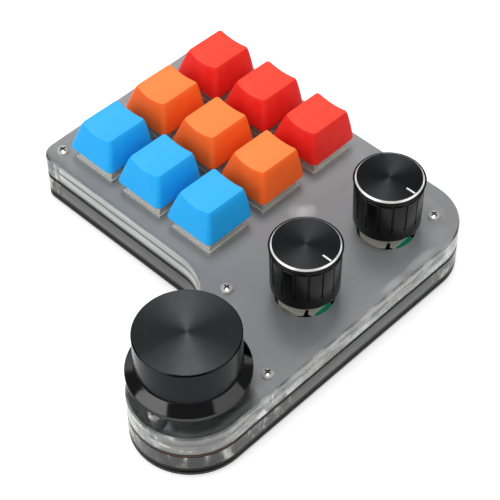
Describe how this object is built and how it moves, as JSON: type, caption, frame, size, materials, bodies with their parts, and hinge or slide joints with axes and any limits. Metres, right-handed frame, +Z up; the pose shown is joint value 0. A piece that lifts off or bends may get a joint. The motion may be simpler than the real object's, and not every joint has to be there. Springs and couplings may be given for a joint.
{
  "type": "macro keypad with knobs",
  "caption": "L-shaped macro keypad in a layered clear acrylic case: sprung mechanical keys in coloured rows, small push-and-turn knobs and a large skirted dial on rotary encoders.",
  "frame": {"origin": "centre of the case outline, on the surface that the rubber feet rest on", "axes": "+X to the right, +Y away from the user (towards the USB port), +Z up"},
  "size_m": [0.105, 0.111, 0.0383],
  "materials": {
    "frosted_acrylic": "frosted top face, polished edges",
    "clear_acrylic": "polished",
    "board_black": "satin solder mask",
    "base_black": "satin",
    "foot_rubber": "matte",
    "screw_steel": "bright",
    "switch_clear": "polished",
    "contact_metal": "plated",
    "bracket_steel": "bright",
    "encoder_green": "satin",
    "bushing_metal": "cast",
    "usb_steel": "bright",
    "tongue_black": "matte",
    "chip_black": "matte",
    "crystal_steel": "bright",
    "keycap_blue": "satin",
    "keycap_orange": "satin",
    "keycap_red": "satin",
    "stem_brown": "satin",
    "spring_steel": "bright",
    "anodised_black": "black anodised, turned",
    "shaft_metal": "turned",
    "plunger_white": "moulded",
    "set_screw_steel": "black oxide"
  },
  "bodies": {
    "case": {"case_top": "frosted_acrylic", "pcb": "board_black", "case_bottom": "clear_acrylic", "base_plate": "base_black", "feet": "foot_rubber", "case_screws": "screw_steel", "switch_tops": "switch_clear", "switch_bottoms": "switch_clear", "switch_contacts": "contact_metal", "encoder_brackets": "bracket_steel", "encoder_bases": "encoder_green", "encoder_bushings": "bushing_metal", "encoder_pins": "contact_metal", "usb_shell": "usb_steel", "usb_tongue": "tongue_black", "controller_chip": "chip_black", "crystal": "crystal_steel", "key_diodes": "chip_black"},
    "key_front_1": {"keycap_front_1": "keycap_blue", "stem_front_1": "stem_brown", "spring_front_1": "spring_steel"},
    "key_front_2": {"keycap_front_2": "keycap_blue", "stem_front_2": "stem_brown", "spring_front_2": "spring_steel"},
    "key_front_3": {"keycap_front_3": "keycap_blue", "stem_front_3": "stem_brown", "spring_front_3": "spring_steel"},
    "key_middle_1": {"keycap_middle_1": "keycap_orange", "stem_middle_1": "stem_brown", "spring_middle_1": "spring_steel"},
    "key_middle_2": {"keycap_middle_2": "keycap_orange", "stem_middle_2": "stem_brown", "spring_middle_2": "spring_steel"},
    "key_middle_3": {"keycap_middle_3": "keycap_orange", "stem_middle_3": "stem_brown", "spring_middle_3": "spring_steel"},
    "key_back_1": {"keycap_back_1": "keycap_red", "stem_back_1": "stem_brown", "spring_back_1": "spring_steel"},
    "key_back_2": {"keycap_back_2": "keycap_red", "stem_back_2": "stem_brown", "spring_back_2": "spring_steel"},
    "key_back_3": {"keycap_back_3": "keycap_red", "stem_back_3": "stem_brown", "spring_back_3": "spring_steel"},
    "push_large": {"plunger_large": "plunger_white"},
    "turn_large": {"knob_large": "anodised_black", "shaft_large": "shaft_metal", "set_screw_large": "set_screw_steel"},
    "push_front": {"plunger_front": "plunger_white"},
    "turn_front": {"knob_front": "anodised_black", "shaft_front": "shaft_metal", "set_screw_front": "set_screw_steel"},
    "push_back": {"plunger_back": "plunger_white"},
    "turn_back": {"knob_back": "anodised_black", "shaft_back": "shaft_metal", "set_screw_back": "set_screw_steel"}
  },
  "joints": [
    {"name": "press_key_front_1", "type": "slide", "parent": "case", "child": "key_front_1", "axis": [0, 0, -1], "range_m": [0, 0.004], "stiffness_N_per_m": 75, "springref_m": -0.004, "deforming": ["spring_front_1"]},
    {"name": "press_key_front_2", "type": "slide", "parent": "case", "child": "key_front_2", "axis": [0, 0, -1], "range_m": [0, 0.004], "stiffness_N_per_m": 75, "springref_m": -0.004, "deforming": ["spring_front_2"]},
    {"name": "press_key_front_3", "type": "slide", "parent": "case", "child": "key_front_3", "axis": [0, 0, -1], "range_m": [0, 0.004], "stiffness_N_per_m": 75, "springref_m": -0.004, "deforming": ["spring_front_3"]},
    {"name": "press_key_middle_1", "type": "slide", "parent": "case", "child": "key_middle_1", "axis": [0, 0, -1], "range_m": [0, 0.004], "stiffness_N_per_m": 75, "springref_m": -0.004, "deforming": ["spring_middle_1"]},
    {"name": "press_key_middle_2", "type": "slide", "parent": "case", "child": "key_middle_2", "axis": [0, 0, -1], "range_m": [0, 0.004], "stiffness_N_per_m": 75, "springref_m": -0.004, "deforming": ["spring_middle_2"]},
    {"name": "press_key_middle_3", "type": "slide", "parent": "case", "child": "key_middle_3", "axis": [0, 0, -1], "range_m": [0, 0.004], "stiffness_N_per_m": 75, "springref_m": -0.004, "deforming": ["spring_middle_3"]},
    {"name": "press_key_back_1", "type": "slide", "parent": "case", "child": "key_back_1", "axis": [0, 0, -1], "range_m": [0, 0.004], "stiffness_N_per_m": 75, "springref_m": -0.004, "deforming": ["spring_back_1"]},
    {"name": "press_key_back_2", "type": "slide", "parent": "case", "child": "key_back_2", "axis": [0, 0, -1], "range_m": [0, 0.004], "stiffness_N_per_m": 75, "springref_m": -0.004, "deforming": ["spring_back_2"]},
    {"name": "press_key_back_3", "type": "slide", "parent": "case", "child": "key_back_3", "axis": [0, 0, -1], "range_m": [0, 0.004], "stiffness_N_per_m": 75, "springref_m": -0.004, "deforming": ["spring_back_3"]},
    {"name": "push_knob_large", "type": "slide", "parent": "case", "child": "push_large", "axis": [0, 0, -1], "range_m": [0, 0.0005], "stiffness_N_per_m": 6000, "springref_m": -0.0005},
    {"name": "turn_knob_large", "type": "hinge", "parent": "push_large", "child": "turn_large", "pos_m": [0.0364, -0.0394, 0.02], "axis": [0, 0, 1], "continuous": true},
    {"name": "push_knob_front", "type": "slide", "parent": "case", "child": "push_front", "axis": [0, 0, -1], "range_m": [0, 0.0005], "stiffness_N_per_m": 6000, "springref_m": -0.0005},
    {"name": "turn_knob_front", "type": "hinge", "parent": "push_front", "child": "turn_front", "pos_m": [0.0364, 0.0023, 0.02], "axis": [0, 0, 1], "continuous": true},
    {"name": "push_knob_back", "type": "slide", "parent": "case", "child": "push_back", "axis": [0, 0, -1], "range_m": [0, 0.0005], "stiffness_N_per_m": 6000, "springref_m": -0.0005},
    {"name": "turn_knob_back", "type": "hinge", "parent": "push_back", "child": "turn_back", "pos_m": [0.0364, 0.0342, 0.02], "axis": [0, 0, 1], "continuous": true}
  ]
}
